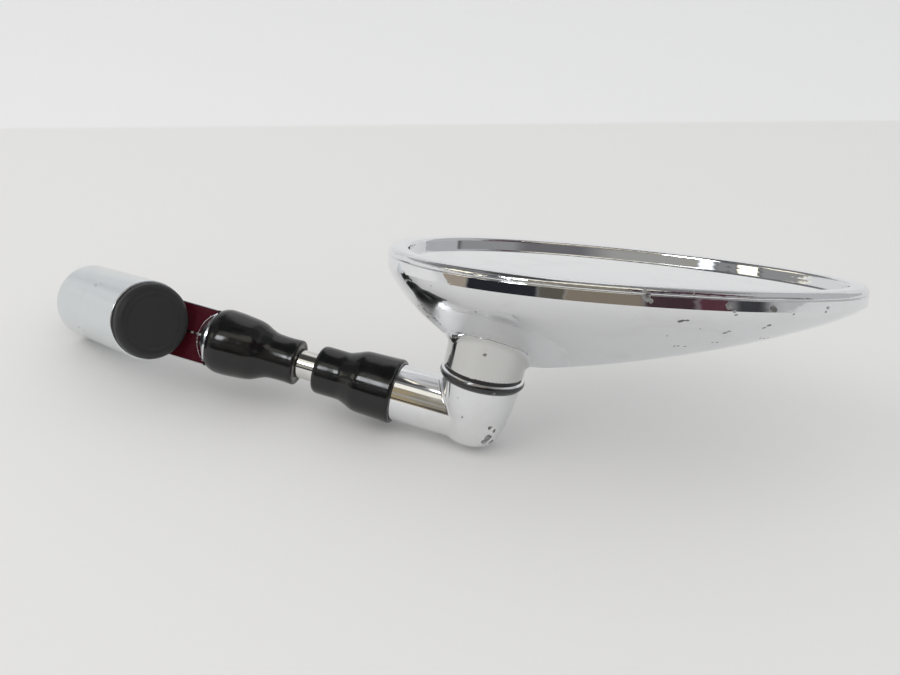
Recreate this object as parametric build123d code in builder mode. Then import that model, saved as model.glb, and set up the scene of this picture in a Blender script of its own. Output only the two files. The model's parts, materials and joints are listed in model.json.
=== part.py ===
# Bar-end motorcycle mirror, lying on the bench. Millimetres, +Z up.
# The origin is where the handlebar's axis crosses the arm's axis.
import os
from math import asin, cos, degrees, pi
from build123d import *

os.makedirs("parts", exist_ok=True)

# Attitude on the bench: the arm dips towards the elbow and the head leans back
lie_dip = 6.0
lie_roll = -13.0

# Handlebar clamp: a split barrel with a flat-sided neck and a domed collar
bar_dia = 22.2
bar_clearance = 0.05
bar_stop = 13.0
barrel_dia = 27.6
barrel_front = 21.0
barrel_back = 40.0
barrel_back_round = 2.0
barrel_lip_round = 0.4
barrel_angle = 44.0
clamp_roll = -20.0
neck_thickness = 10.4
neck_height = 20.0
neck_edge_round = 0.8
collar_dia = 19.6
collar_end = 43.5
dome_radius = 11.6
dome_at = 40.4
slot_width = 0.8
slot_gap_to_rod = 1.0

# Pinch screw across the slot
pinch_at = 25.5
pinch_dia = 5.0
pinch_clearance = 0.15
pinch_head_dia = 8.5
pinch_head_height = 5.0
pinch_head_clearance = 0.25
pinch_grip = 4.2
pinch_length = 12.0
pinch_tip_gap = 0.6
pinch_socket = 4.0
pinch_socket_depth = 2.5

# Rubber cap in the barrel's front end
cap_dia = 26.4
cap_proud = 5.0
cap_round = 2.6
plug_dia = 19.0
plug_fit = 0.05
plug_gap = 0.3
cap_gap = 0.3

# Arm: a rod with a jam nut at each end, from the bar's axis to the swivel axis
arm_length = 131.0
rod_dia = 10.0
rod_fit = 0.05
rod_chamfer = 1.0
rod_engagement = 12.0
rod_end_gap = 1.0
nut_flats = 14.0
nut_height = 6.0

# Slip-on boots over the nuts
clamp_boot_length = 31.8
clamp_boot_overlap = 8.4
elbow_boot_length = 29.4
elbow_boot_overlap = 3.6
boot_fit = 0.3
boot_lip_dia = 22.8
boot_flare_length = 9.0
boot_body_dia = 21.9
boot_body_length = 13.6
boot_taper_length = 6.6
boot_tail_dia = 15.6
boot_wall = 1.5
boot_edge_round = 1.0
boot_shoulder_round = 3.0

# Elbow casting
stub_dia = 19.6
stub_length = 31.0
elbow_top = 15.6
bead_dia = 28.8
bead_height = 2.8
elbow_top_dia = 26.8
elbow_mid_dia = 22.6
elbow_low_dia = 18.6
elbow_low = 7.0
elbow_depth = 10.0
elbow_lean = 0.12
elbow_fillet = 1.2

# Swivel: a stud through the head's neck, with a spring and nut inside the head
gasket_dia = 26.4
gasket_bore = 16.0
gasket_thickness = 1.0
stud_dia = 8.0
stud_fit = 0.1
stud_seat_fit = 0.05
stud_engagement = 12.0
stud_chamfer = 0.8
stud_reach = 1.5
washer_dia = 18.0
washer_thickness = 1.5
washer_fit = 0.2
spring_height = 10.0
spring_dia = 15.0
spring_wire = 1.8
spring_turns = 2.0
swivel_nut_flats = 13.0
swivel_nut_height = 6.5

# Mirror head: an egg-shaped bowl on a round neck, its rim tilted to the swivel
neck_dia = 27.2
neck_foot_round = 0.6
seat_thickness = 10.0
seat_dia = 22.0
rim_height = 54.9
rim_rise = 8.5
rim_back = 4.0
head_yaw = 7.0
head_back = 39.0
head_tip = 115.0
head_widest = 22.0
head_half_width = 43.0
back_bluntness = 0.66
back_reach = 0.52
tip_reach = 0.54
tip_bluntness = 0.46
hull_depth = 36.6
hull_swell = 1.26
hull_bluntness = 0.70
keel_forward = 6.8
keel_taper = 1.78
hull_band = 3.6
wall = 3.0
opening_wall = 2.0
ledge = 3.0
cavity_depth = 22.0
hull_steps = (0, 0.12, 0.28, 0.46, 0.62, 0.76, 0.88, 0.96)
cavity_steps = (0.2, 0.5, 0.8, 1)

# Glass, the pad behind it and the bezel that holds it
glass_thickness = 3.0
glass_fit = 0.3
pad_thickness = 1.5
bezel_height = 2.4
bezel_width = 6.5
bezel_outer_round = 1.9
bezel_inner_round = 0.9
seam_round = 0.4

# Working frames: x along the arm, z along the swivel
arm = Plane(Rot(0, lie_dip, 0) * Rot(lie_roll, 0, 0))
arm_side = Plane(arm.origin, x_dir=arm.x_dir, z_dir=-arm.y_dir)
arm_axis = Axis(arm.origin, arm.x_dir)
clamp = Plane(arm.location * Rot(clamp_roll, 0, 0))
barrel = Plane(clamp.location * Rot(0, 0, -barrel_angle))
swivel = Plane(arm.location * Pos(arm_length, 0, 0))
swivel_side = Plane(swivel.origin, x_dir=swivel.x_dir, z_dir=-swivel.y_dir)
swivel_axis = Axis(swivel.origin, swivel.z_dir)
rim = Plane(swivel.location * Pos(0, 0, rim_height) * Rot(-rim_back, -rim_rise, head_yaw))

# Levels and radii that several pieces share
bore_radius = bar_dia / 2 + bar_clearance
rod_radius = rod_dia / 2
stud_radius = stud_dia / 2
collar_radius = collar_dia / 2
slot_end = collar_end - rod_engagement - slot_gap_to_rod
stub_end = arm_length - stub_length
gasket_top = elbow_top + gasket_thickness
seat_level = gasket_top + seat_thickness
spring_level = seat_level + washer_thickness
nut_level = spring_level + spring_height + washer_thickness
stud_top = nut_level + swivel_nut_height + stud_reach
pad_depth = glass_thickness + pad_thickness

# The boots slide further on where the rod is too short to keep their tails apart
boot_room = (stub_end - collar_end) / 2 - boot_wall
clamp_boot_grip = max(clamp_boot_overlap, clamp_boot_length - boot_room)
elbow_boot_grip = max(elbow_boot_overlap, elbow_boot_length - boot_room)
boot_mouth = collar_end - clamp_boot_grip
elbow_boot_mouth = stub_end + elbow_boot_grip


# Plane that faces along the arm at a distance from the bar's axis
def across_arm(distance):
    return Plane(clamp.origin + clamp.x_dir * distance, x_dir=clamp.y_dir, z_dir=clamp.x_dir)


# Plane that faces along the barrel at a distance in front of the arm's axis
def across_barrel(distance):
    return Plane(barrel.origin + barrel.x_dir * distance, x_dir=barrel.y_dir, z_dir=barrel.x_dir)


# How far the hull has drawn in at a depth below its rim, as a scale of the outline's length
def hull_scale(depth):
    run = max(depth - hull_band, 0) / (hull_depth - hull_band)
    return (1 - run**hull_swell) ** hull_bluntness


# Plane across the head at a depth below its rim; it follows the swivel axis and leans to the keel
def head_level(depth):
    slide = max(depth - hull_band, 0) / rim.z_dir.dot(swivel.z_dir)
    centre = rim.origin - rim.z_dir * min(depth, hull_band) - swivel.z_dir * slide
    forward = keel_forward * (1 - hull_scale(depth))
    return Plane(centre + rim.x_dir * forward, x_dir=rim.x_dir, z_dir=rim.z_dir)


# The head's egg outline, drawn in by an inset and scaled, and narrowed to a keel as it shrinks
def head_outline(inset, scale=1.0):
    back = (head_back - inset) * scale
    tip = (head_tip - inset) * scale
    half = (head_half_width - inset) * scale**keel_taper
    widest = head_widest * scale
    with BuildSketch() as outline:
        with BuildLine():
            back_pull = widest - (widest + back) * back_reach
            tip_pull = widest + (tip - widest) * tip_reach
            Bezier((-back, 0), (-back, half * back_bluntness), (back_pull, half), (widest, half))
            Bezier((widest, half), (tip_pull, half), (tip, half * tip_bluntness), (tip, 0))
            mirror(about=Plane.XZ)
        make_face()
    return outline.sketch


# Half section of a boot: where its mouth is on the arm, which way its tail points, its grip and length
def boot_section(mouth, way, grip, length):
    body_bore = boot_body_dia / 2 - boot_wall
    tail_bore = rod_radius + boot_fit
    nut_corner = nut_flats / 2 / cos(pi / 6)
    # The body reaches over the nut until the taper has room for the nut's corners
    taper_over_nut = boot_taper_length * (body_bore - nut_corner - boot_fit) / (body_bore - tail_bore)
    body_length = max(boot_body_length, grip + nut_height - taper_over_nut)
    body_end = body_length + boot_taper_length
    outer = [
        (0, collar_radius + boot_fit),
        (0, boot_lip_dia / 2),
        (boot_flare_length, boot_body_dia / 2),
        (body_length, boot_body_dia / 2),
        (body_end, boot_tail_dia / 2),
        (length, boot_tail_dia / 2),
        (length, tail_bore),
    ]
    inner = [
        (length, tail_bore),
        (body_end, tail_bore),
        (body_length, body_bore),
        (grip, body_bore),
        (grip, collar_radius + boot_fit),
        (0, collar_radius + boot_fit),
    ]
    rounds = [
        boot_edge_round,
        boot_shoulder_round,
        boot_shoulder_round,
        boot_shoulder_round,
        boot_edge_round,
    ]
    with BuildSketch() as section:
        with BuildLine():
            FilletPolyline(*[(mouth + way * x, y) for x, y in outer], radius=rounds)
            Polyline(*[(mouth + way * x, y) for x, y in inner])
        make_face()
    return section.sketch


# Handlebar clamp
with BuildPart() as bar_clamp:
    with BuildSketch(across_barrel(-barrel_back)):
        Circle(barrel_dia / 2)
    extrude(amount=barrel_back + barrel_front)
    rims = bar_clamp.edges().filter_by(GeomType.CIRCLE).sort_by(Axis(barrel.origin, barrel.x_dir))
    fillet(rims[0], barrel_back_round)
    fillet(rims[-1], barrel_lip_round)
    with BuildSketch(across_arm(0)):
        RectangleRounded(neck_thickness, neck_height, neck_edge_round)
    extrude(amount=boot_mouth - boot_fit)
    with BuildSketch(arm_side):
        with BuildLine():
            sweep_angle = degrees(asin(collar_radius / dome_radius))
            dome = CenterArc((dome_at, 0), dome_radius, 180 - sweep_angle, sweep_angle)
            Polyline(dome @ 0, (collar_end, collar_radius), (collar_end, 0), dome @ 1)
        make_face()
    revolve(axis=arm_axis)
    with BuildSketch(across_barrel(-barrel_back)):
        Circle(bore_radius)
    extrude(amount=barrel_back + bar_stop, mode=Mode.SUBTRACT)
    with BuildSketch(across_barrel(bar_stop)):
        Circle(plug_dia / 2 + plug_fit)
    extrude(amount=barrel_front - bar_stop, mode=Mode.SUBTRACT)
    with BuildSketch(across_barrel(barrel_front)):
        Circle(cap_dia / 2 + cap_gap)
    extrude(amount=cap_proud, mode=Mode.SUBTRACT)
    with BuildSketch(across_arm(collar_end)):
        Circle(rod_radius + rod_fit)
    extrude(amount=-rod_engagement, mode=Mode.SUBTRACT)
    with BuildSketch(clamp):
        with Locations((slot_end / 2, 0)):
            Rectangle(slot_end, neck_thickness * 2)
    extrude(amount=slot_width / 2, both=True, mode=Mode.SUBTRACT)
    with BuildSketch(barrel):
        with Locations(((barrel_front - barrel_back) / 2, 0)):
            Rectangle(barrel_front + barrel_back, barrel_dia, align=(Align.CENTER, Align.MIN))
    extrude(amount=slot_width / 2, both=True, mode=Mode.SUBTRACT)
    screw_seat = slot_width / 2 + pinch_grip
    screw_top = pinch_length - screw_seat
    with BuildSketch(clamp.offset(screw_top + pinch_tip_gap)):
        with Locations((pinch_at, 0)):
            Circle(pinch_dia / 2 + pinch_clearance)
    extrude(amount=-neck_height, mode=Mode.SUBTRACT)
    with BuildSketch(clamp.offset(-screw_seat)):
        with Locations((pinch_at, 0)):
            Circle(pinch_head_dia / 2 + pinch_head_clearance)
    extrude(amount=-neck_height, mode=Mode.SUBTRACT)

bar_clamp.part.label = "bar_clamp"
export_step(bar_clamp.part, "parts/bar_clamp.step")

# Socket screw that pinches the slot
with BuildPart() as pinch_screw:
    with BuildSketch(clamp.offset(-screw_seat)):
        with Locations((pinch_at, 0)):
            Circle(pinch_head_dia / 2)
    extrude(amount=-pinch_head_height)
    with BuildSketch(clamp.offset(-screw_seat)):
        with Locations((pinch_at, 0)):
            Circle(pinch_dia / 2)
    extrude(amount=pinch_length)
    with BuildSketch(clamp.offset(-screw_seat - pinch_head_height)):
        with Locations((pinch_at, 0)):
            RegularPolygon(pinch_socket / 2, 6, major_radius=False)
    extrude(amount=pinch_socket_depth, mode=Mode.SUBTRACT)

pinch_screw.part.label = "pinch_screw"
export_step(pinch_screw.part, "parts/pinch_screw.step")

# Rubber cap over the barrel's front end
with BuildPart() as end_cap:
    with BuildSketch(across_barrel(barrel_front)):
        Circle(cap_dia / 2)
    extrude(amount=cap_proud)
    faces = end_cap.edges().filter_by(GeomType.CIRCLE).sort_by(Axis(barrel.origin, barrel.x_dir))
    fillet(faces[-1], cap_round)
    with BuildSketch(across_barrel(barrel_front)):
        Circle(plug_dia / 2)
    extrude(amount=bar_stop + plug_gap - barrel_front)

end_cap.part.label = "end_cap"
export_step(end_cap.part, "parts/end_cap.step")

# Rod between the clamp's collar and the elbow's stub
with BuildPart() as stem_rod:
    rod_start = collar_end - rod_engagement + rod_end_gap
    rod_end = stub_end + rod_engagement - rod_end_gap
    with BuildSketch(across_arm(rod_start)):
        Circle(rod_radius)
    extrude(amount=rod_end - rod_start)
    chamfer(stem_rod.edges().filter_by(GeomType.CIRCLE), rod_chamfer)

stem_rod.part.label = "stem_rod"
export_step(stem_rod.part, "parts/stem_rod.step")

# Jam nut against the clamp's collar
with BuildPart() as clamp_nut:
    with BuildSketch(across_arm(collar_end)):
        RegularPolygon(nut_flats / 2, 6, major_radius=False)
        Circle(rod_radius + rod_fit, mode=Mode.SUBTRACT)
    extrude(amount=nut_height)

clamp_nut.part.label = "clamp_nut"
export_step(clamp_nut.part, "parts/clamp_nut.step")

# Jam nut against the elbow's stub
with BuildPart() as elbow_nut:
    with BuildSketch(across_arm(stub_end)):
        RegularPolygon(nut_flats / 2, 6, major_radius=False)
        Circle(rod_radius + rod_fit, mode=Mode.SUBTRACT)
    extrude(amount=-nut_height)

elbow_nut.part.label = "elbow_nut"
export_step(elbow_nut.part, "parts/elbow_nut.step")

# Boot over the clamp's collar
with BuildPart() as clamp_boot:
    with BuildSketch(arm_side):
        add(boot_section(boot_mouth, 1, clamp_boot_grip, clamp_boot_length))
    revolve(axis=arm_axis)

clamp_boot.part.label = "clamp_boot"
export_step(clamp_boot.part, "parts/clamp_boot.step")

# Boot over the elbow's stub
with BuildPart() as elbow_boot:
    with BuildSketch(arm_side):
        add(boot_section(elbow_boot_mouth, -1, elbow_boot_grip, elbow_boot_length))
    revolve(axis=arm_axis)

elbow_boot.part.label = "elbow_boot"
export_step(elbow_boot.part, "parts/elbow_boot.step")

# Elbow: a tapered barrel with a beaded top and a round stub towards the arm
with BuildPart() as elbow:
    with BuildSketch(swivel_side):
        with BuildLine():
            bead_root = elbow_top - bead_height
            belly = Spline(
                (0, -elbow_depth),
                (elbow_low_dia / 2, -elbow_low),
                (elbow_mid_dia / 2, 0),
                (elbow_top_dia / 2, bead_root),
                tangents=[(1, 0), (elbow_lean, 1)],
            )
            bead_middle = (bead_dia / 2, elbow_top - bead_height / 2)
            ThreePointArc(belly @ 1, bead_middle, (elbow_top_dia / 2, elbow_top))
            Polyline((elbow_top_dia / 2, elbow_top), (0, elbow_top), belly @ 0)
        make_face()
    revolve(axis=swivel_axis)
    with BuildSketch(across_arm(stub_end)):
        Circle(stub_dia / 2)
    extrude(amount=stub_length)
    stub_root = elbow.edges().filter_by(GeomType.BSPLINE).sort_by(SortBy.LENGTH)[-1]
    fillet(stub_root, elbow_fillet)
    with BuildSketch(across_arm(stub_end)):
        Circle(rod_radius + rod_fit)
    extrude(amount=rod_engagement, mode=Mode.SUBTRACT)
    with BuildSketch(swivel.offset(elbow_top)):
        Circle(stud_radius + stud_seat_fit)
    extrude(amount=-stud_engagement, mode=Mode.SUBTRACT)

elbow.part.label = "elbow"
export_step(elbow.part, "parts/elbow.step")

# Rubber gasket between the elbow and the head's neck
with BuildPart() as swivel_gasket:
    with BuildSketch(swivel.offset(elbow_top)):
        Circle(gasket_dia / 2)
        Circle(gasket_bore / 2, mode=Mode.SUBTRACT)
    extrude(amount=gasket_thickness)

swivel_gasket.part.label = "swivel_gasket"
export_step(swivel_gasket.part, "parts/swivel_gasket.step")

# Pivot stud
with BuildPart() as swivel_stud:
    stud_foot = elbow_top - stud_engagement
    with BuildSketch(swivel.offset(stud_foot)):
        Circle(stud_radius)
    extrude(amount=stud_top - stud_foot)
    chamfer(swivel_stud.edges().filter_by(GeomType.CIRCLE), stud_chamfer)

swivel_stud.part.label = "swivel_stud"
export_step(swivel_stud.part, "parts/swivel_stud.step")

# Friction washer on the seat inside the head
with BuildPart() as friction_washer:
    with BuildSketch(swivel.offset(seat_level)):
        Circle(washer_dia / 2)
        Circle(stud_radius + washer_fit, mode=Mode.SUBTRACT)
    extrude(amount=washer_thickness)

friction_washer.part.label = "friction_washer"
export_step(friction_washer.part, "parts/friction_washer.step")

# Coil spring that loads the swivel
with BuildPart() as swivel_spring:
    coil_rise = spring_height - spring_wire
    coil_start = swivel.offset(spring_level + spring_wire / 2)
    with BuildLine() as coil:
        Helix(
            coil_rise / spring_turns,
            coil_rise,
            (spring_dia - spring_wire) / 2,
            center=coil_start.origin,
            direction=swivel.z_dir,
        )
    with BuildSketch(Plane(coil.line @ 0, z_dir=coil.line % 0)):
        Circle(spring_wire / 2)
    sweep()

swivel_spring.part.label = "swivel_spring"
export_step(swivel_spring.part, "parts/swivel_spring.step")

# Washer under the swivel nut
with BuildPart() as spring_washer:
    with BuildSketch(swivel.offset(spring_level + spring_height)):
        Circle(washer_dia / 2)
        Circle(stud_radius + washer_fit, mode=Mode.SUBTRACT)
    extrude(amount=washer_thickness)

spring_washer.part.label = "spring_washer"
export_step(spring_washer.part, "parts/spring_washer.step")

# Swivel nut
with BuildPart() as swivel_nut:
    with BuildSketch(swivel.offset(nut_level)):
        RegularPolygon(swivel_nut_flats / 2, 6, major_radius=False)
        Circle(stud_radius + stud_seat_fit, mode=Mode.SUBTRACT)
    extrude(amount=swivel_nut_height)

swivel_nut.part.label = "swivel_nut"
export_step(swivel_nut.part, "parts/swivel_nut.step")

# Mirror housing: the bowl, its neck, the cavity and the swivel's seat
with BuildPart() as mirror_housing:
    for share in hull_steps:
        depth = hull_band + (hull_depth - hull_band) * share
        with BuildSketch(head_level(depth)):
            add(head_outline(0, hull_scale(depth)))
    loft()
    with BuildSketch(rim):
        add(head_outline(0))
    extrude(amount=-hull_band)
    rim_face = mirror_housing.faces().sort_by(Axis(rim.origin, rim.z_dir))[-1]
    fillet(rim_face.outer_wire().edges(), seam_round)
    with BuildSketch(swivel_side):
        with BuildLine():
            neck_top = seat_level + 2 * wall
            foot = RadiusArc(
                (neck_dia / 2 - neck_foot_round, gasket_top),
                (neck_dia / 2, gasket_top + neck_foot_round),
                -neck_foot_round,
            )
            Polyline(foot @ 1, (neck_dia / 2, neck_top), (0, neck_top), (0, gasket_top), foot @ 0)
        make_face()
    revolve(axis=swivel_axis)
    with BuildSketch(head_level(pad_depth)):
        add(head_outline(opening_wall + ledge))
    for share in cavity_steps:
        depth = pad_depth + (cavity_depth - pad_depth) * share
        with BuildSketch(head_level(depth)):
            add(head_outline(wall / 2, hull_scale(depth + wall)))
    loft(mode=Mode.SUBTRACT)
    with BuildSketch(rim):
        add(head_outline(opening_wall))
    extrude(amount=-pad_depth, mode=Mode.SUBTRACT)
    with BuildSketch(swivel.offset(seat_level)):
        Circle(seat_dia / 2)
    extrude(amount=seat_thickness, mode=Mode.SUBTRACT)
    with BuildSketch(swivel.offset(gasket_top)):
        Circle(stud_radius + stud_fit)
    extrude(amount=seat_thickness, mode=Mode.SUBTRACT)

mirror_housing.part.label = "mirror_housing"
export_step(mirror_housing.part, "parts/mirror_housing.step")

# Foam pad on the housing's ledge
with BuildPart() as glass_pad:
    with BuildSketch(rim.offset(-pad_depth)):
        add(head_outline(opening_wall + glass_fit))
    extrude(amount=pad_thickness)

glass_pad.part.label = "glass_pad"
export_step(glass_pad.part, "parts/glass_pad.step")

# Mirror glass
with BuildPart() as mirror_glass:
    with BuildSketch(rim.offset(-glass_thickness)):
        add(head_outline(opening_wall + glass_fit))
    extrude(amount=glass_thickness)

mirror_glass.part.label = "mirror_glass"
export_step(mirror_glass.part, "parts/mirror_glass.step")

# Bezel ring over the glass's edge
with BuildPart() as bezel:
    with BuildSketch(rim):
        add(head_outline(0))
        add(head_outline(bezel_width), mode=Mode.SUBTRACT)
    extrude(amount=bezel_height)
    top_face = bezel.faces().sort_by(Axis(rim.origin, rim.z_dir))[-1]
    fillet(top_face.outer_wire().edges(), bezel_outer_round)
    top_face = bezel.faces().sort_by(Axis(rim.origin, rim.z_dir))[-1]
    fillet(top_face.inner_wires()[0].edges(), bezel_inner_round)
    foot_face = bezel.faces().sort_by(Axis(rim.origin, rim.z_dir))[0]
    fillet(foot_face.outer_wire().edges(), seam_round)

bezel.part.label = "bezel"
export_step(bezel.part, "parts/bezel.step")
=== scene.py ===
import json
import math

import bpy
from mathutils import Matrix, Vector, noise
from mathutils.bvhtree import BVHTree

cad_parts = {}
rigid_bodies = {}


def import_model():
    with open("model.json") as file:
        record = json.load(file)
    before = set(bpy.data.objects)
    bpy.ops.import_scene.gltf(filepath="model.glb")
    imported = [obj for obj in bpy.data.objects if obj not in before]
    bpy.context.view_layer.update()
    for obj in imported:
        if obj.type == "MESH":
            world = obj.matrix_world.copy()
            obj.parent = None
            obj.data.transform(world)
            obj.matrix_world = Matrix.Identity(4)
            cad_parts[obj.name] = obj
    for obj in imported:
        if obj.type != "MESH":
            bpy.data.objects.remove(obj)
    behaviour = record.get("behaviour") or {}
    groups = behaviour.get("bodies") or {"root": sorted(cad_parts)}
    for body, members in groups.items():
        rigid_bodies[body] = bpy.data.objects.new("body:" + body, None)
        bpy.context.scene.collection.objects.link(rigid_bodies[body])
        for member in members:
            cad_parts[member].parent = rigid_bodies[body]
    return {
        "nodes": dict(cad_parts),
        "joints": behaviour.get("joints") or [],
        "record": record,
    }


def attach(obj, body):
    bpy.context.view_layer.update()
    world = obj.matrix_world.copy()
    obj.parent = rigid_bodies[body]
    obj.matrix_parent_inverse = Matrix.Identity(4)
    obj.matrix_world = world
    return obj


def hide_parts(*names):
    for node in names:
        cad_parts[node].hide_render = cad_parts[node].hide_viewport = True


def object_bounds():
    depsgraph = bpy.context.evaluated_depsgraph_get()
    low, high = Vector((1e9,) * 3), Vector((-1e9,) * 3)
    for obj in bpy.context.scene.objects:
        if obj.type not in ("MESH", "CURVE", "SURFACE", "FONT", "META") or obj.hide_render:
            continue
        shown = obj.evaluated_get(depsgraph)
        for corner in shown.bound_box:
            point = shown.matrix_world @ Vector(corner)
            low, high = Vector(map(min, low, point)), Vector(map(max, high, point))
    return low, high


for leftover in list(bpy.data.objects):  # the startup cube, lamp and camera
    bpy.data.objects.remove(leftover)
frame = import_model()
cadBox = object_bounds()
mm = 0.001
print("frame loaded:", len(frame["nodes"]), "nodes")

# Directions of the arm, the swivel and the handlebar clamp, read from the joints and the mount
joints = {joint["name"]: joint for joint in frame["joints"]}
armDir = Vector(joints["stem_turn"]["axis"]).normalized()
collarEnd = Vector(joints["stem_turn"]["pos_m"])
stubEnd = Vector(joints["elbow_turn"]["pos_m"])
swivelDir = Vector(joints["head_swivel"]["axis"]).normalized()
neckFoot = Vector(joints["head_swivel"]["pos_m"])
barrelDir = -Vector(frame["record"]["mounts"][0]["axis"]).normalized()
clampUp = barrelDir.cross(armDir).normalized()
clampSide = clampUp.cross(armDir).normalized()


# Frame with x along one direction and z near another
def axesFrame(origin, xDir, zNear):
    yDir = zNear.cross(xDir).normalized()
    zDir = xDir.cross(yDir).normalized()
    turn = Matrix((xDir, yDir, zDir)).transposed().to_4x4()
    return Matrix.Translation(origin) @ turn


# Camera at the photograph's viewpoint
cameraSetup = {
    "at": (0.2275, -0.3595, 0.2239),
    "right": (0.9529, 0.3014, 0.0321),
    "up": (-0.1669, 0.4330, 0.8858),
    "lens": 52.0,
    "sensor": 36.0,
    "shiftY": -0.0417,
    "clipStart": 0.01,
    "imageWidth": 900,
    "axisPixel": (450, 300),  # where the lens points in the 900 x 675 picture
}


def makeCamera(setup):
    right = Vector(setup["right"]).normalized()
    up = (Vector(setup["up"]) - right * right.dot(Vector(setup["up"]))).normalized()
    back = right.cross(up)
    data = bpy.data.cameras.new("camera")
    data.lens = setup["lens"]
    data.sensor_width = setup["sensor"]
    data.shift_y = setup["shiftY"]
    data.clip_start = setup["clipStart"]
    made = bpy.data.objects.new("camera", data)
    turn = Matrix((right, up, back)).transposed().to_4x4()
    made.matrix_world = Matrix.Translation(Vector(setup["at"])) @ turn
    bpy.context.scene.collection.objects.link(made)
    bpy.context.scene.camera = made
    return made


camera = makeCamera(cameraSetup)
print("camera placed")


# Point on a node's surface behind a pixel of the photograph
def spotOn(tree, pixel):
    turn = camera.matrix_world.to_3x3()
    focal = cameraSetup["lens"] / cameraSetup["sensor"] * cameraSetup["imageWidth"]
    across = (pixel[0] - cameraSetup["axisPixel"][0]) / focal
    above = (cameraSetup["axisPixel"][1] - pixel[1]) / focal
    ray = (turn @ Vector((across, above, -1.0))).normalized()
    return tree.ray_cast(camera.matrix_world.translation, ray)[0]


def surfaceTree(nodeName):
    mesh = frame["nodes"][nodeName].data
    corners = [vertex.co for vertex in mesh.vertices]
    return BVHTree.FromPolygons(corners, [face.vertices[:] for face in mesh.polygons])


# Pixel marks (x, y, radius in mm) turned into places on a node
def marksOn(nodeName, marks):
    tree = surfaceTree(nodeName)
    places = [(spotOn(tree, mark), mark[2] * mm) for mark in marks]
    return [place for place in places if place[0] is not None]


# Node helpers: a socket among the inputs is linked, a plain value is set
def feed(tree, node, inputs):
    for key, value in inputs.items():
        if isinstance(value, bpy.types.NodeSocket):
            tree.links.new(value, node.inputs[key])
        else:
            node.inputs[key].default_value = value


def addNode(tree, kind, inputs=None, **settings):
    made = tree.nodes.new(kind)
    for key, value in settings.items():
        setattr(made, key, value)
    feed(tree, made, inputs or {})
    return made


def mathNode(tree, operation, first, second=0.0, clamp=False):
    inputs = {0: first, 1: second}
    return addNode(tree, "ShaderNodeMath", inputs, operation=operation, use_clamp=clamp).outputs[0]


def timesPlus(tree, value, factor, plus):
    inputs = {0: value, 1: factor, 2: plus}
    return addNode(tree, "ShaderNodeMath", inputs, operation="MULTIPLY_ADD").outputs[0]


def rampBetween(tree, value, low, high, toLow=0.0, toHigh=1.0):
    inputs = {"Value": value, "From Min": low, "From Max": high, "To Min": toLow, "To Max": toHigh}
    return addNode(tree, "ShaderNodeMapRange", inputs, interpolation_type="SMOOTHSTEP").outputs[0]


def mixColour(tree, amount, first, second):
    made = addNode(tree, "ShaderNodeMix", {0: amount}, data_type="RGBA")
    for socket, value in ((6, first), (7, second)):
        linked = isinstance(value, bpy.types.NodeSocket)
        feed(tree, made, {socket: value if linked else (*value, 1.0)})
    return made.outputs[2]


def mixValue(tree, amount, first, second):
    return addNode(tree, "ShaderNodeMix", {0: amount, 2: first, 3: second}).outputs[0]


def vectorNode(tree, operation, first, second, output="Vector"):
    inputs = {0: first, 1: second}
    return addNode(tree, "ShaderNodeVectorMath", inputs, operation=operation).outputs[output]


def dotWith(tree, place, direction):
    return vectorNode(tree, "DOT_PRODUCT", place, direction, "Value")


def distanceTo(tree, place, point):
    return vectorNode(tree, "DISTANCE", place, point, "Value")


# Distance from a line through a point
def distanceFromAxis(tree, place, point, direction):
    offset = vectorNode(tree, "SUBTRACT", place, point)
    across = vectorNode(tree, "CROSS_PRODUCT", offset, direction)
    return addNode(tree, "ShaderNodeVectorMath", {0: across}, operation="LENGTH").outputs["Value"]


def noiseOf(tree, place, scale, detail=3.0, roughness=0.5, distortion=0.0):
    inputs = {
        "Vector": place,
        "Scale": scale,
        "Detail": detail,
        "Roughness": roughness,
        "Distortion": distortion,
    }
    return addNode(tree, "ShaderNodeTexNoise", inputs).outputs["Fac"]


def startMaterial(name):
    material = bpy.data.materials.new(name)
    material.use_nodes = True
    tree = material.node_tree
    shader = tree.nodes["Principled BSDF"]
    place = addNode(tree, "ShaderNodeTexCoord").outputs["Object"]
    return material, tree, shader, place


def bumpInto(tree, shader, height, strength, distance):
    inputs = {"Height": height, "Strength": strength, "Distance": distance}
    bump = addNode(tree, "ShaderNodeBump", inputs)
    feed(tree, shader, {"Normal": bump.outputs["Normal"]})


# In the looks below a noise is (scale, detail, roughness, distortion), and a range says where an effect
# starts and where it is full

# Painted reflection: dark red on the flats of the clamp's neck in place of the red they mirror, and a darker
# blue-grey tint on its barrel in place of the pale blue room it mirrors
paintedReflectionLook = {
    "colour": (0.053, 0.0055, 0.010),
    "lighterRed": (0.060, 0.011, 0.016),
    "mottles": (130.0, 4.0, 0.6),
    "mottleRange": (0.45, 0.75),
    "roughness": 0.22,
    "shine": 0.03,
    "barrelHaze": 0.12,
    "barrelReflectionTint": (0.67, 0.715, 0.735),
    "barrelCover": 0.75,
    "flatAt": 5.1 * mm,
    "barrelRadius": 13.86 * mm,
    "domeAt": 40.4 * mm,
    "domeRadius": 11.66 * mm,
}


# 1 on the neck's two flats, clear of the barrel and the dome
def flatMask(tree, place):
    look = paintedReflectionLook
    side = mathNode(tree, "ABSOLUTE", dotWith(tree, place, clampSide))
    onFlat = mathNode(tree, "GREATER_THAN", side, look["flatAt"])
    reach = distanceFromAxis(tree, place, (0.0, 0.0, 0.0), barrelDir)
    offBarrel = mathNode(tree, "GREATER_THAN", reach, look["barrelRadius"])
    fromDome = distanceTo(tree, place, armDir * look["domeAt"])
    offDome = mathNode(tree, "GREATER_THAN", fromDome, look["domeRadius"])
    return mathNode(tree, "MULTIPLY", mathNode(tree, "MULTIPLY", onFlat, offBarrel), offDome)


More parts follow.
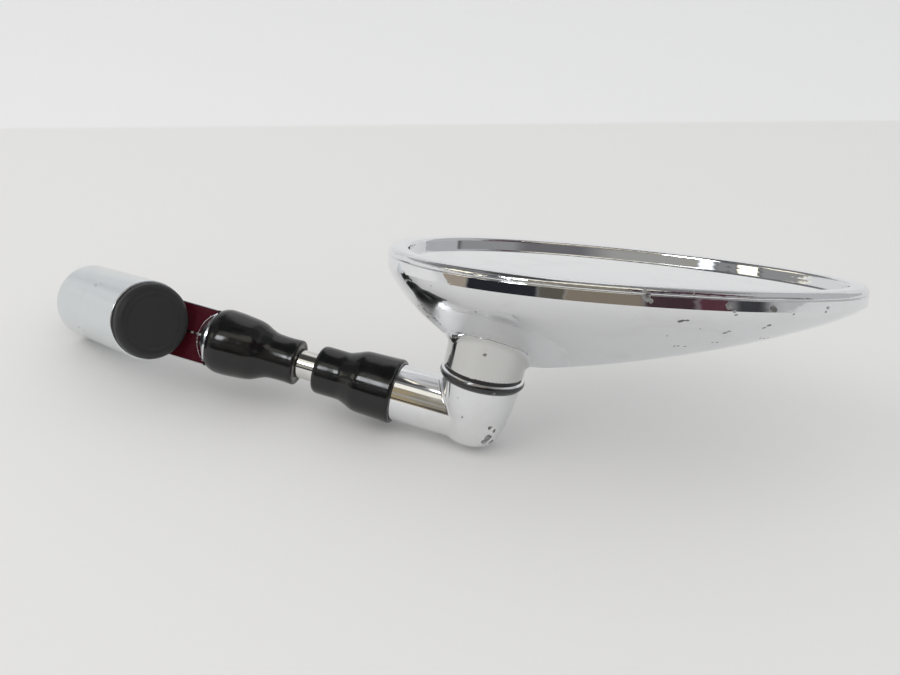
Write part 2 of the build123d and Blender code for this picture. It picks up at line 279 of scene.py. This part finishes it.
# This and the next two give the shader's sockets on the part of one piece where the plate differs
def clampZone(tree, place, plate):
    look = paintedReflectionLook
    flats = flatMask(tree, place)
    # dark red painted on the flats, mottled by noise: a painted reflection
    mottled = rampBetween(tree, noiseOf(tree, place, *look["mottles"]), *look["mottleRange"])
    paint = mixColour(tree, mottled, look["colour"], look["lighterRed"])
    dulled = mathNode(tree, "ADD", plate["Roughness"], look["barrelHaze"])
    # darker blue-grey tint on the barrel: a painted reflection of the pale blue room
    greyed = mixColour(tree, look["barrelCover"], plate["Base Color"], look["barrelReflectionTint"])
    return {
        "Base Color": mixColour(tree, flats, greyed, paint),
        "Roughness": mixValue(tree, flats, dulled, look["roughness"]),
        "Metallic": mathNode(tree, "SUBTRACT", plate["Metallic"], flats, clamp=True),
        "Specular IOR Level": look["shine"],
    }


# Painted shade on the bowl's neck, a darker grey tint, and a dulled ring around it, by distance from the
# swivel's axis
neckHazeLook = {
    "neckTo": 13.9 * mm,
    "neckPaintedShade": (0.64, 0.64, 0.632),
    "from": 15.4 * mm,
    "full": 16.6 * mm,
    "fadeFrom": 24.0 * mm,
    "fadeTo": 36.0 * mm,
    "roughness": 0.36,
}


def neckZone(tree, place, plate):
    look = neckHazeLook
    reach = distanceFromAxis(tree, place, neckFoot, swivelDir)
    begun = rampBetween(tree, reach, look["from"], look["full"])
    ended = rampBetween(tree, reach, look["fadeFrom"], look["fadeTo"], 1.0, 0.0)
    around = mathNode(tree, "MULTIPLY", begun, ended)
    dulled = mathNode(tree, "MULTIPLY", around, look["roughness"])
    # darker grey on the neck: painted shade
    onNeck = rampBetween(tree, reach, look["neckTo"], look["from"], 1.0, 0.0)
    return {
        "Base Color": mixColour(tree, onNeck, plate["Base Color"], look["neckPaintedShade"]),
        "Roughness": mathNode(tree, "MAXIMUM", plate["Roughness"], dulled),
    }


# Painted dark reflection on the lower half of the elbow's bead, broken by noise, by level from the neck's
# foot
beadDarkReflectionLook = {
    "bottom": -3.9 * mm,
    "top": -1.75 * mm,
    "soft": 0.5 * mm,
    "reach": 13.3 * mm,
    "gaps": (260.0, 3.0),
    "gapRange": (0.25, 0.42),
    "colour": (0.022, 0.022, 0.023),
    "roughness": 0.30,
    "cover": 0.93,
}


def beadZone(tree, place, plate):
    look = beadDarkReflectionLook
    level = dotWith(tree, vectorNode(tree, "SUBTRACT", place, neckFoot), swivelDir)
    above = rampBetween(tree, level, look["bottom"] - look["soft"], look["bottom"])
    below = rampBetween(tree, level, look["top"], look["top"] + look["soft"], 1.0, 0.0)
    reach = distanceFromAxis(tree, place, neckFoot, swivelDir)
    outside = mathNode(tree, "GREATER_THAN", reach, look["reach"])
    band = mathNode(tree, "MULTIPLY", mathNode(tree, "MULTIPLY", above, below), outside)
    broken = rampBetween(tree, noiseOf(tree, place, *look["gaps"]), *look["gapRange"])
    # near-black painted on the bead, with gaps: a painted reflection
    paintedDark = mathNode(tree, "MULTIPLY", mathNode(tree, "MULTIPLY", band, broken), look["cover"])
    return {
        "Base Color": mixColour(tree, paintedDark, plate["Base Color"], look["colour"]),
        "Roughness": mixValue(tree, paintedDark, plate["Roughness"], look["roughness"]),
    }


chromeZones = {"bar_clamp": clampZone, "mirror_housing": neckZone, "elbow": beadZone}

# Spots where the plate has flaked off
chipLook = {
    "colour": (0.115, 0.112, 0.105),
    "roughness": 0.7,
    "rags": {"Scale": 900.0, "Detail": 3.0},
    "ragged": 1.1 * mm,
    "edgeRange": (-0.12 * mm, 0.05 * mm),
    "cover": 0.25,
    "speckCover": 1.1,
    "metalLoss": 0.8,
    "sink": 1.5,
}


# 1 inside any of the marks, with a ragged edge
def chipMask(tree, place, marks):
    shake = addNode(tree, "ShaderNodeTexNoise", {"Vector": place, **chipLook["rags"]}).outputs["Color"]
    centred = vectorNode(tree, "SUBTRACT", shake, (0.5, 0.5, 0.5))
    inputs = {0: centred, "Scale": chipLook["ragged"]}
    scaled = addNode(tree, "ShaderNodeVectorMath", inputs, operation="SCALE").outputs["Vector"]
    moved = vectorNode(tree, "ADD", place, scaled)
    nearest = None
    for point, radius in marks:
        gap = mathNode(tree, "SUBTRACT", distanceTo(tree, moved, point), radius)
        nearest = gap if nearest is None else mathNode(tree, "MINIMUM", nearest, gap)
    return rampBetween(tree, nearest, *chipLook["edgeRange"], 1.0, 0.0)


# Chrome plate: a slightly wavy mirror with handling haze
chromeLook = {
    "tint": (0.85, 0.858, 0.875),
    "stain": (0.76, 0.76, 0.76),
    "stainCover": 0.5,
    "polish": 0.03,
    "haze": 0.10,
    "smears": (42.0, 5.0, 0.6, 1.2),
    "smearRange": (0.48, 0.78),
    "metalLoss": 0.02,
    "specks": (420.0, 2.0),
    "speckHeight": 0.06,
    "waves": (95.0, 2.0),
    "waveHeight": 0.4 * mm,
    "waviness": 0.008,
}


def chromeFinish(name, marks, zone):
    look = chromeLook
    material, tree, shader, place = startMaterial(name)
    specks = noiseOf(tree, place, *look["specks"])
    haze = rampBetween(tree, noiseOf(tree, place, *look["smears"]), *look["smearRange"])
    stained = mathNode(tree, "MULTIPLY", haze, look["stainCover"])
    filmed = mathNode(tree, "MULTIPLY", haze, look["metalLoss"])
    height = timesPlus(tree, specks, look["speckHeight"], noiseOf(tree, place, *look["waves"]))
    plate = {
        "Base Color": mixColour(tree, stained, look["tint"], look["stain"]),
        "Roughness": timesPlus(tree, haze, look["haze"], look["polish"]),
        "Metallic": mathNode(tree, "SUBTRACT", 1.0, filmed),
    }
    if zone:
        plate.update(zone(tree, place, plate))
    if marks:
        patchy = timesPlus(tree, specks, chipLook["speckCover"], chipLook["cover"])
        flaked = mathNode(tree, "MULTIPLY", chipMask(tree, place, marks), patchy, clamp=True)
        bared = mathNode(tree, "MULTIPLY", flaked, chipLook["metalLoss"])
        sunk = mathNode(tree, "MULTIPLY", flaked, chipLook["sink"])
        plate["Base Color"] = mixColour(tree, flaked, plate["Base Color"], chipLook["colour"])
        plate["Roughness"] = mixValue(tree, flaked, plate["Roughness"], chipLook["roughness"])
        plate["Metallic"] = mathNode(tree, "SUBTRACT", plate["Metallic"], bared)
        height = mathNode(tree, "SUBTRACT", height, sunk)
    feed(tree, shader, plate)
    bumpInto(tree, shader, height, look["waviness"], look["waveHeight"])
    return material


# Bright plated steel of the rod and the fittings inside the head
steelLook = {
    "tint": (0.78, 0.77, 0.74),
    "dull": (0.60, 0.59, 0.57),
    "smears": (110.0, 5.0, 0.6),
    "dullRange": (0.4, 0.75),
    "polish": 0.06,
    "spread": 0.16,
    "spreadRange": (0.45, 0.8),
    "grain": (2200.0, 2.0),
    "grainBump": 0.03,
    "grainHeight": 0.1 * mm,
}


def steelFinish(name):
    look = steelLook
    material, tree, shader, place = startMaterial(name)
    smears = noiseOf(tree, place, *look["smears"])
    dulled = rampBetween(tree, smears, *look["dullRange"])
    roughest = look["polish"] + look["spread"]
    feed(tree, shader, {
        "Base Color": mixColour(tree, dulled, look["tint"], look["dull"]),
        "Roughness": rampBetween(tree, smears, *look["spreadRange"], look["polish"], roughest),
        "Metallic": 1.0,
    })
    bumpInto(tree, shader, noiseOf(tree, place, *look["grain"]), look["grainBump"], look["grainHeight"])
    return material


# Black rubbers: glossy dipped vinyl, matt moulded rubber and a plain gasket, with dust and film on all three
rubberLooks = {
    "boot": {
        "dark": (0.006, 0.0062, 0.0065),
        "dusty": (0.014, 0.014, 0.014),
        "gloss": 0.12,
        "dull": 0.24,
        "grain": (900.0, 3.0),
        "grainBump": 0.05,
    },
    "cap": {
        "dark": (0.014, 0.0138, 0.0145),
        "dusty": (0.034, 0.033, 0.034),
        "gloss": 0.50,
        "dull": 0.72,
        "grain": (2600.0, 3.0),
        "grainBump": 0.30,
    },
    "gasket": {
        "dark": (0.012, 0.012, 0.012),
        "dusty": (0.030, 0.030, 0.030),
        "gloss": 0.40,
        "dull": 0.60,
        "grain": (2600.0, 3.0),
        "grainBump": 0.20,
    },
}
rubberDust = {
    "film": (85.0, 5.0, 0.62, 0.8),
    "filmRange": (0.42, 0.80),
    "filmCover": 0.35,
    "dust": (1500.0, 2.0),
    "dustRange": (0.66, 0.74),
    "grainHeight": 0.06 * mm,
}


def rubberFinish(name, look):
    material, tree, shader, place = startMaterial(name)
    dust = rampBetween(tree, noiseOf(tree, place, *rubberDust["dust"]), *rubberDust["dustRange"])
    film = rampBetween(tree, noiseOf(tree, place, *rubberDust["film"]), *rubberDust["filmRange"])
    settled = mathNode(tree, "MULTIPLY", dust, film)
    filmed = mathNode(tree, "MULTIPLY", film, rubberDust["filmCover"])
    cover = mathNode(tree, "MAXIMUM", settled, filmed)
    feed(tree, shader, {
        "Base Color": mixColour(tree, cover, look["dark"], look["dusty"]),
        "Roughness": mixValue(tree, film, look["gloss"], look["dull"]),
    })
    grain = noiseOf(tree, place, *look["grain"])
    bumpInto(tree, shader, grain, look["grainBump"], rubberDust["grainHeight"])
    return material


# Silvered glass with a faint film
glassLook = {
    "silver": (0.88, 0.89, 0.90),
    "film": (0.80, 0.81, 0.82),
    "smears": (30.0, 5.0, 0.6, 1.5),
    "smearRange": (0.5, 0.8),
    "polish": 0.012,
    "smeared": 0.07,
}


def mirrorFinish(name):
    look = glassLook
    material, tree, shader, place = startMaterial(name)
    film = rampBetween(tree, noiseOf(tree, place, *look["smears"]), *look["smearRange"])
    feed(tree, shader, {
        "Base Color": mixColour(tree, film, look["silver"], look["film"]),
        "Roughness": mixValue(tree, film, look["polish"], look["smeared"]),
        "Metallic": 1.0,
    })
    return material


# Foam sheet behind the glass
foamLook = {
    "dark": (0.030, 0.030, 0.031),
    "light": (0.065, 0.064, 0.062),
    "cells": 1400.0,
    "cellRange": (0.1, 0.7),
    "roughness": 0.9,
    "cellBump": 0.5,
    "cellHeight": 0.15 * mm,
}


def foamFinish(name):
    look = foamLook
    material, tree, shader, place = startMaterial(name)
    inputs = {"Vector": place, "Scale": look["cells"]}
    cells = addNode(tree, "ShaderNodeTexVoronoi", inputs).outputs["Distance"]
    lit = rampBetween(tree, cells, *look["cellRange"])
    feed(tree, shader, {
        "Base Color": mixColour(tree, lit, look["dark"], look["light"]),
        "Roughness": look["roughness"],
    })
    bumpInto(tree, shader, cells, look["cellBump"], look["cellHeight"])
    return material


# Flaked spots as the photograph shows them: pixel x, pixel y, radius in mm
wearMarks = {
    "mirror_housing": [
        (647, 298, 1.1), (644, 297, 0.7), (651, 301, 0.7), (730, 305.5, 1.2), (735, 312, 0.6),
        (736.5, 315, 0.65), (680, 321.5, 0.85), (683, 320.5, 0.75), (687, 320.5, 0.7), (725, 333, 0.8),
        (729, 331.5, 0.85), (764, 328, 0.7), (769, 325.5, 0.85), (773, 308.5, 1.1), (775, 310, 0.8),
        (760, 338.5, 0.5), (764, 338.5, 0.6), (768, 338, 0.45), (674, 346, 0.5), (678, 346, 0.6),
        (685, 346.5, 0.5), (712, 342.5, 0.55), (717, 342.5, 0.5), (667, 336, 0.4), (700, 329, 0.4),
        (794, 314, 0.45), (828, 308, 0.6), (826, 312, 0.45), (476, 312, 0.5), (431, 286, 0.3),
        (485, 355, 0.6), (419, 306, 0.5), (424, 309, 0.75), (427, 312, 0.6), (431, 314, 0.85),
        (434, 318, 0.85), (437, 321, 0.6), (428, 317, 0.7), (440, 324, 0.5), (422, 305, 0.6),
    ],
    "bezel": [
        (644.5, 291, 0.7), (648, 294, 0.8), (694, 292, 0.45), (694, 295, 0.4), (500, 276, 0.4),
        (512, 277.5, 0.35),
    ],
    "elbow": [
        (490, 428, 0.85), (494, 431, 0.75), (488, 438, 1.4), (484, 442, 1.2), (491, 442, 1.0),
        (462, 417, 0.35), (458, 398, 0.3), (505, 424, 0.45),
    ],
    "bar_clamp": [(96, 285, 0.5), (101, 284, 0.4), (79, 327, 0.5), (84, 330, 0.4), (88, 275, 0.35)],
}

finishes = {
    "mirror": mirrorFinish("silvered glass"),
    "pad_foam": foamFinish("cell foam"),
    "plated_steel": steelFinish("bright plate"),
    "boot_rubber": rubberFinish("dipped vinyl", rubberLooks["boot"]),
    "cap_rubber": rubberFinish("moulded rubber", rubberLooks["cap"]),
    "gasket": rubberFinish("gasket rubber", rubberLooks["gasket"]),
}
nodeFinish = {
    "mirror_glass": "mirror",
    "glass_pad": "pad_foam",
    "swivel_gasket": "gasket",
    "end_cap": "cap_rubber",
    "clamp_boot": "boot_rubber",
    "elbow_boot": "boot_rubber",
}
for nodeName, nodeObject in frame["nodes"].items():
    if nodeName in wearMarks:  # the chromed pieces
        spots = marksOn(nodeName, wearMarks[nodeName])
        finish = chromeFinish("chrome " + nodeName, spots, chromeZones.get(nodeName))
    else:
        finish = finishes[nodeFinish.get(nodeName, "plated_steel")]
    for slot in nodeObject.material_slots:
        slot.material = finish
print("finishes made:", len(finishes) + len(wearMarks))


# Smooth curve through given points, as a dense list
def curveAt(a, b, c, d, t):
    square = (2 * a - 5 * b + 4 * c - d) * t * t
    cube = (3 * b - a - 3 * c + d) * t**3
    return 0.5 * (2 * b + (c - a) * t + square + cube)


def smoothLine(points, steps):
    ends = [points[0], *points, points[-1]]
    line = []
    for spans in zip(ends, ends[1:], ends[2:], ends[3:]):
        for step in range(steps):
            line.append(tuple(curveAt(*values, step / steps) for values in zip(*spans)))
    line.append(points[-1])
    return line


# Smooth-shaded piece from corners and faces
def addPiece(name, corners, faces):
    mesh = bpy.data.meshes.new(name)
    mesh.from_pydata(corners, [], faces)
    mesh.shade_smooth()
    piece = bpy.data.objects.new(name, mesh)
    bpy.context.scene.collection.objects.link(piece)
    return piece


# Place around a frame's x axis, from mm
def ringSpot(place, along, radius, angle):
    return place @ (Vector((along, radius * math.cos(angle), radius * math.sin(angle))) * mm)


# Ring of revolution about a frame's x axis from a line of (along, radius) in mm
def latheMesh(name, line, place, segments, closed, shift=None):
    corners, faces, rings = [], [], []
    for along, radius in line:
        if radius < 1e-6:
            rings.append([len(corners)] * segments)
            corners.append(place @ Vector((along * mm, 0.0, 0.0)))
            continue
        rings.append(list(range(len(corners), len(corners) + segments)))
        for step in range(segments):
            angle = 2 * math.pi * step / segments
            out = radius + (shift(along, angle) if shift else 0.0)
            corners.append(ringSpot(place, along, out, angle))
    for near, far in zip(rings, rings[1:] + ([rings[0]] if closed else [])):
        for step in range(segments):
            ahead = (step + 1) % segments
            face = list(dict.fromkeys([near[step], near[ahead], far[ahead], far[step]]))
            if len(face) > 2:
                faces.append(face)
    made = addPiece(name, corners, faces)
    made.data.validate()
    return made


# Dipped vinyl boots, in mm from the mouth to the tail
bootShape = {
    "boreMouth": 10.1,
    "boreBody": 9.45,
    "boreTail": 5.3,
    "bodyEnd": 13.6,
    "taperEnd": 20.2,
    "rippleLength": 7.0,
    "rippleAround": 1.3,
    "skinSteps": 7,
    "segments": 128,
}
clampBootShape = {
    "grip": 8.4,
    "skin": [
        (0.0, 10.35), (0.3, 10.6), (1.6, 11.15), (3.2, 11.48), (5.5, 11.48), (8.0, 11.34), (10.0, 11.15),
        (13.6, 10.8), (15.8, 10.35), (17.4, 9.75), (19.2, 8.9), (21.4, 8.15), (24.0, 7.88), (28.0, 7.8),
        (30.4, 7.9), (31.3, 7.85), (31.65, 7.6), (31.8, 7.1),
    ],
    "ripple": 0.10,
    "seed": 3.0,
}
elbowBootShape = {
    "grip": 3.6,
    "skin": [
        (0.0, 10.75), (0.25, 11.05), (0.9, 11.25), (1.8, 11.22), (4.5, 11.05), (9.0, 10.88), (12.6, 10.75),
        (14.4, 10.4), (16.8, 9.45), (19.2, 8.6), (21.2, 8.4), (24.5, 8.42), (27.6, 8.4), (28.7, 8.15),
        (29.25, 7.65), (29.4, 7.0),
    ],
    "ripple": 0.04,
    "seed": 9.0,
}


def makeBoot(nodeName, origin, way, shape):
    outer = smoothLine(shape["skin"], bootShape["skinSteps"])
    tail = outer[-1][0]
    inner = [
        (tail, bootShape["boreTail"]),
        (bootShape["taperEnd"], bootShape["boreTail"]),
        (bootShape["bodyEnd"], bootShape["boreBody"]),
        (shape["grip"], bootShape["boreBody"]),
        (shape["grip"], bootShape["boreMouth"]),
        (0.0, bootShape["boreMouth"]),
    ]
    place = axesFrame(origin - armDir * way * shape["grip"] * mm, armDir * way, swivelDir)
    around = bootShape["rippleAround"]

    def ripple(along, angle):
        length = along / bootShape["rippleLength"] + shape["seed"]
        spot = Vector((length, math.cos(angle) * around, math.sin(angle) * around))
        return shape["ripple"] * noise.noise(spot)

    boot = latheMesh(nodeName + "_skin", outer + inner, place, bootShape["segments"], True, ripple)
    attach(boot, "stem")
    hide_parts(nodeName)
    boot.data.materials.append(finishes["boot_rubber"])


makeBoot("clamp_boot", collarEnd, 1, clampBootShape)
makeBoot("elbow_boot", stubEnd, -1, elbowBootShape)
print("boots made")

# Moulded cap in the barrel's front end, in mm from the bar's axis
capShape = {
    "seat": 21.0,
    "plugEnd": 13.3,
    "plugRadius": 9.5,
    "plugChamfer": 0.4,
    "radius": 13.2,
    "rimChamfer": 0.3,
    "proud": 5.0,
    "edge": 2.6,
    "edgeSteps": 14,
    "ringRadius": 9.9,
    "ringWidth": 0.5,
    "ringDepth": 0.16,
    "dish": 0.10,
    "faceRings": 60,
    "segments": 160,
}


def makeCap(shape):
    face = shape["seat"] + shape["proud"]
    flat = shape["radius"] - shape["edge"]
    line = [
        (shape["plugEnd"], 0.0),
        (shape["plugEnd"], shape["plugRadius"] - shape["plugChamfer"]),
        (shape["plugEnd"] + shape["plugChamfer"], shape["plugRadius"]),
        (shape["seat"], shape["plugRadius"]),
        (shape["seat"], shape["radius"] - shape["rimChamfer"]),
        (shape["seat"] + shape["rimChamfer"], shape["radius"]),
    ]
    for step in range(shape["edgeSteps"] + 1):
        angle = math.pi / 2 * step / shape["edgeSteps"]
        along = face - shape["edge"] * (1 - math.sin(angle))
        line.append((along, shape["radius"] - shape["edge"] * (1 - math.cos(angle))))
    for step in range(1, shape["faceRings"] + 1):
        radius = flat * (1 - step / shape["faceRings"])
        groove = math.exp(-((radius - shape["ringRadius"]) / shape["ringWidth"]) ** 2)
        bowl = shape["dish"] * max(0.0, 1 - (radius / flat) ** 2)
        line.append((face - shape["ringDepth"] * groove - bowl, radius))
    place = axesFrame(Vector(), barrelDir, clampUp)
    cap = latheMesh("end_cap_face", line, place, shape["segments"], False)
    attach(cap, "mount")
    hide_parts("end_cap")
    cap.data.materials.append(finishes["cap_rubber"])


makeCap(capShape)
print("cap made")

# Rounded joint where the bowl meets its neck, in mm
neckFilletShape = {
    "neckRadius": 13.6,
    "foot": 1.0,
    "round": 2.4,
    "clear": 0.05,
    "sink": 0.04,
    "bury": 0.7,
    "sharpAngle": 50,
    "segments": 180,
    "steps": 9,
}


def makeNeckFillet(shape):
    tree = surfaceTree("mirror_housing")
    place = axesFrame(neckFoot, swivelDir, armDir)
    corners, faces = [], []
    steps = shape["steps"]
    width = steps + 2
    inner = shape["neckRadius"]
    outer = inner + shape["round"]

    def bowlAbove(angle, radius):
        start = ringSpot(place, shape["foot"], radius, angle)
        return (tree.ray_cast(start, swivelDir)[0] - neckFoot).dot(swivelDir) / mm

    for turn in range(shape["segments"]):
        angle = 2 * math.pi * turn / shape["segments"]
        joint = bowlAbove(angle, inner + shape["clear"])
        low = Vector((joint - shape["round"], inner - shape["sink"]))
        high = Vector((bowlAbove(angle, outer) + shape["sink"], outer))
        middle = Vector((joint, inner))
        section = []
        for step in range(steps + 1):
            t = step / steps
            section.append(low * (1 - t) ** 2 + middle * 2 * t * (1 - t) + high * t * t)
        section.append(middle + Vector((shape["bury"], -shape["bury"])))
        corners.extend(ringSpot(place, level, radius, angle) for level, radius in section)
        here = turn * width
        ahead = (turn + 1) % shape["segments"] * width
        for step in range(width):
            after = (step + 1) % width
            faces.append([here + step, ahead + step, ahead + after, here + after])
    fillet = addPiece("neck_fillet", corners, faces)
    fillet.data.set_sharp_from_angle(angle=math.radians(shape["sharpAngle"]))
    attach(fillet, "head")
    fillet.data.materials.append(frame["nodes"]["mirror_housing"].material_slots[0].material)


makeNeckFillet(neckFilletShape)
print("neck fillet made")

# Plain pale floor that sweeps up behind the object, with a slightly paler sheet at the back
floorShape = {"width": 5.0, "front": -3.0, "back": 1.5, "bend": 0.8, "wall": 1.6, "bendSteps": 16}
floorLook = {
    "pale": (0.865, 0.862, 0.852),
    "deep": (0.845, 0.842, 0.832),
    "clouds": (3.0, 3.0),
    "sheet": (0.915, 0.917, 0.917),
    "sheetDir": (-0.408, 0.913, 0.0),
    "sheetFrom": 0.258,
    "sheetSoft": 0.005,
    "roughness": 0.7,
    "shine": 0.2,
}


def floorFinish(name):
    look = floorLook
    material, tree, shader, place = startMaterial(name)
    bench = mixColour(tree, noiseOf(tree, place, *look["clouds"]), look["pale"], look["deep"])
    away = dotWith(tree, place, look["sheetDir"])
    onSheet = rampBetween(tree, away, look["sheetFrom"], look["sheetFrom"] + look["sheetSoft"])
    feed(tree, shader, {
        "Base Color": mixColour(tree, onSheet, bench, look["sheet"]),
        "Roughness": look["roughness"],
        "Specular IOR Level": look["shine"],
    })
    return material


def makeFloor(shape):
    level = cadBox[0].z
    outline = [(shape["front"], level), (shape["back"], level)]
    for step in range(1, shape["bendSteps"] + 1):
        angle = math.pi / 2 * step / shape["bendSteps"]
        rise = shape["bend"] * (1 - math.cos(angle))
        outline.append((shape["back"] + shape["bend"] * math.sin(angle), level + rise))
    outline.append((outline[-1][0], level + shape["wall"]))
    corners = [(side * shape["width"] / 2, y, z) for y, z in outline for side in (-1, 1)]
    faces = [(2 * i, 2 * i + 1, 2 * i + 3, 2 * i + 2) for i in range(len(outline) - 1)]
    floor = addPiece("floor", corners, faces)
    floor.data.materials.append(floorFinish("pale floor"))


makeFloor(floorShape)

# One soft lamp overhead, in front and to the left
lampSetup = {
    "toward": (-0.50, -0.45, 0.74),
    "distance": 1.2,
    "size": (0.9, 0.75),
    "radiance": 1.13,
    "colour": (1.0, 0.975, 0.90),
}


def makeLamp(setup):
    data = bpy.data.lights.new("lamp", "AREA")
    data.shape = "RECTANGLE"
    data.size, data.size_y = setup["size"]
    data.energy = setup["radiance"] * math.pi * setup["size"][0] * setup["size"][1]
    data.color = setup["colour"]
    lamp = bpy.data.objects.new("lamp", data)
    toward = Vector(setup["toward"]).normalized()
    lamp.location = (cadBox[0] + cadBox[1]) / 2 + toward * setup["distance"]
    lamp.rotation_euler = toward.to_track_quat("Z", "Y").to_euler()
    lamp.visible_glossy = False  # the room's own patches are what the chrome mirrors
    bpy.context.scene.collection.objects.link(lamp)


makeLamp(lampSetup)

# The room that the chrome mirrors, in degrees: tones by height, then patches by bearing and height, where
# bearing 0 is straight in front and a positive one is to the right
roomTones = [(-10, 0.40), (20, 0.42), (40, 0.32), (60, 0.24), (72, 0.20), (90, 0.25)]
roomPatches = [
    # behind and beside the object
    {"bearing": (-190, -156), "height": (-9, 66), "soft": 5, "colour": (0.85, 0.85, 0.84)},
    {"bearing": (150, 190), "height": (-9, 62), "soft": 6, "colour": (0.42, 0.42, 0.42)},
    {"bearing": (-156, -120), "height": (-9, 37), "soft": 5, "colour": (0.62, 0.63, 0.65)},
    {"bearing": (-156, -122), "height": (40, 74), "soft": 4, "colour": (0.10, 0.10, 0.10)},
    {"bearing": (-124, -47), "height": (-9, 20), "soft": 3, "colour": (0.76, 0.76, 0.76)},
    {"bearing": (-104, -56), "height": (34, 60), "soft": 5, "colour": (0.17, 0.17, 0.17)},
    {"bearing": (64, 152), "height": (-9, 58), "soft": 5, "colour": (0.47, 0.47, 0.48)},
    {"bearing": (-142, -27), "height": (64, 88), "soft": 4, "colour": (0.06, 0.06, 0.06)},
    {"bearing": (68, 80), "height": (3, 17), "soft": 3, "colour": (0.12, 0.115, 0.12)},
    # upper tones in front
    {"bearing": (-64, -42), "height": (15, 40), "soft": 2, "colour": (1.40, 1.30, 1.06)},
    {"bearing": (-42, -11), "height": (12, 62), "soft": 2, "colour": (0.115, 0.116, 0.125)},
    {"bearing": (-11, 26), "height": (11, 68), "soft": 2, "colour": (0.24, 0.22, 0.175)},
    {"bearing": (26, 46), "height": (11, 68), "soft": 1, "colour": (0.058, 0.043, 0.048)},
    {"bearing": (46, 64), "height": (11, 60), "soft": 2, "colour": (0.088, 0.034, 0.045)},
    {"bearing": (-10, 46), "height": (54, 74), "soft": 3, "colour": (1.05, 1.0, 0.86)},
    # what the far side of the rim sees by way of the glass
    {"bearing": (-70, -36.5), "height": (15.5, 24.5), "soft": 1.5, "colour": (0.30, 0.30, 0.295)},
    {"bearing": (-35.5, -29), "height": (20, 25), "soft": 1, "colour": (1.9, 1.8, 1.45)},
    {"bearing": (-28.5, -22.5), "height": (21, 25.5), "soft": 1, "colour": (0.27, 0.27, 0.275)},
    {"bearing": (-22, -17), "height": (21.5, 26), "soft": 1, "colour": (1.6, 1.68, 1.75)},
    {"bearing": (-16.5, 7), "height": (22.5, 27.5), "soft": 1.5, "colour": (0.37, 0.365, 0.345)},
    {"bearing": (4, 34), "height": (22, 28), "soft": 9, "softHeight": 1, "colour": (0.165, 0.16, 0.17)},
    {"bearing": (34, 78), "height": (15, 27), "soft": 9, "softHeight": 1, "colour": (0.30, 0.30, 0.30)},
    # along the horizon in front
    {"bearing": (-56, -37), "height": (-9, 11), "soft": 4, "colour": (0.34, 0.29, 0.235)},
    {"bearing": (-37, -4), "height": (-9, 11), "soft": 3, "colour": (0.020, 0.021, 0.027)},
    {"bearing": (-4, 6), "height": (-9, 11), "soft": 2, "colour": (0.105, 0.096, 0.08)},
    {"bearing": (6, 26), "height": (-9, 11), "soft": 2, "colour": (0.22, 0.185, 0.145)},
    {"bearing": (26, 40), "height": (-9, 11), "soft": 3, "colour": (0.052, 0.030, 0.036)},
    {"bearing": (40, 49), "height": (-9, 11), "soft": 2, "colour": (0.090, 0.034, 0.046)},
    {"bearing": (49, 60), "height": (-9, 11), "soft": 6, "colour": (0.045, 0.045, 0.05)},
    # window and lit wall that the arm sees
    {"bearing": (-13.3, -10.7), "height": (28, 49), "soft": 1, "colour": (0.34, 0.28, 0.18)},
    {"bearing": (-13.3, -10.7), "height": (8, 22), "soft": 1, "colour": (0.34, 0.28, 0.18)},
    {"bearing": (-13.3, -10.7), "height": (-9, 4), "soft": 1, "colour": (0.34, 0.28, 0.18)},
    {"bearing": (-18.5, -14.5), "height": (10, 33), "soft": 1, "colour": (0.37, 0.36, 0.325)},
    {"bearing": (-32, -8.5), "height": (50, 66), "soft": 3, "colour": (1.0, 0.97, 0.87)},
    {"bearing": (-27, -15), "height": (35, 48), "soft": 1.2, "colour": (11.0, 11.3, 11.6)},
]
daylight = {"diffuse": (0.795, 0.797, 0.802), "seen": (0.80, 0.80, 0.80)}


# 1 between two limits, with soft ends
def spanMask(tree, value, limits, soft):
    low = rampBetween(tree, value, limits[0] - soft / 2, limits[0] + soft / 2)
    high = rampBetween(tree, value, limits[1] - soft / 2, limits[1] + soft / 2, 1.0, 0.0)
    return mathNode(tree, "MULTIPLY", low, high)


def makeRoom():
    world = bpy.data.worlds.new("room")
    world.use_nodes = True
    bpy.context.scene.world = world
    tree = world.node_tree
    ray = addNode(tree, "ShaderNodeTexCoord").outputs["Generated"]
    split = addNode(tree, "ShaderNodeSeparateXYZ", {0: ray})
    toFront = mathNode(tree, "MULTIPLY", split.outputs["Y"], -1.0)
    bearing = mathNode(tree, "DEGREES", mathNode(tree, "ARCTAN2", split.outputs["X"], toFront))
    height = mathNode(tree, "DEGREES", mathNode(tree, "ARCSINE", split.outputs["Z"]))
    inputs = {"Value": height, "From Min": -90.0, "From Max": 90.0}
    share = addNode(tree, "ShaderNodeMapRange", inputs).outputs[0]
    tones = addNode(tree, "ShaderNodeValToRGB", {0: share})
    stops = tones.color_ramp.elements
    while len(stops) < len(roomTones):
        stops.new(0.5)
    for stop, (level, tone) in zip(stops, roomTones):
        stop.position = (level + 90) / 180
        stop.color = (tone, tone, tone, 1.0)
    seen = tones.outputs["Color"]
    for patch in roomPatches:
        across = spanMask(tree, bearing, patch["bearing"], patch["soft"])
        upright = spanMask(tree, height, patch["height"], patch.get("softHeight", patch["soft"]))
        inside = mathNode(tree, "MULTIPLY", upright, across)
        seen = mixColour(tree, inside, seen, patch["colour"])
    path = addNode(tree, "ShaderNodeLightPath")
    light = mixColour(tree, path.outputs["Is Glossy Ray"], daylight["diffuse"], seen)
    light = mixColour(tree, path.outputs["Is Camera Ray"], light, daylight["seen"])
    feed(tree, tree.nodes["Background"], {"Color": light, "Strength": 1.0})


makeRoom()
bpy.context.scene.view_settings.view_transform = "Standard"
print("floor, lamp and room made")
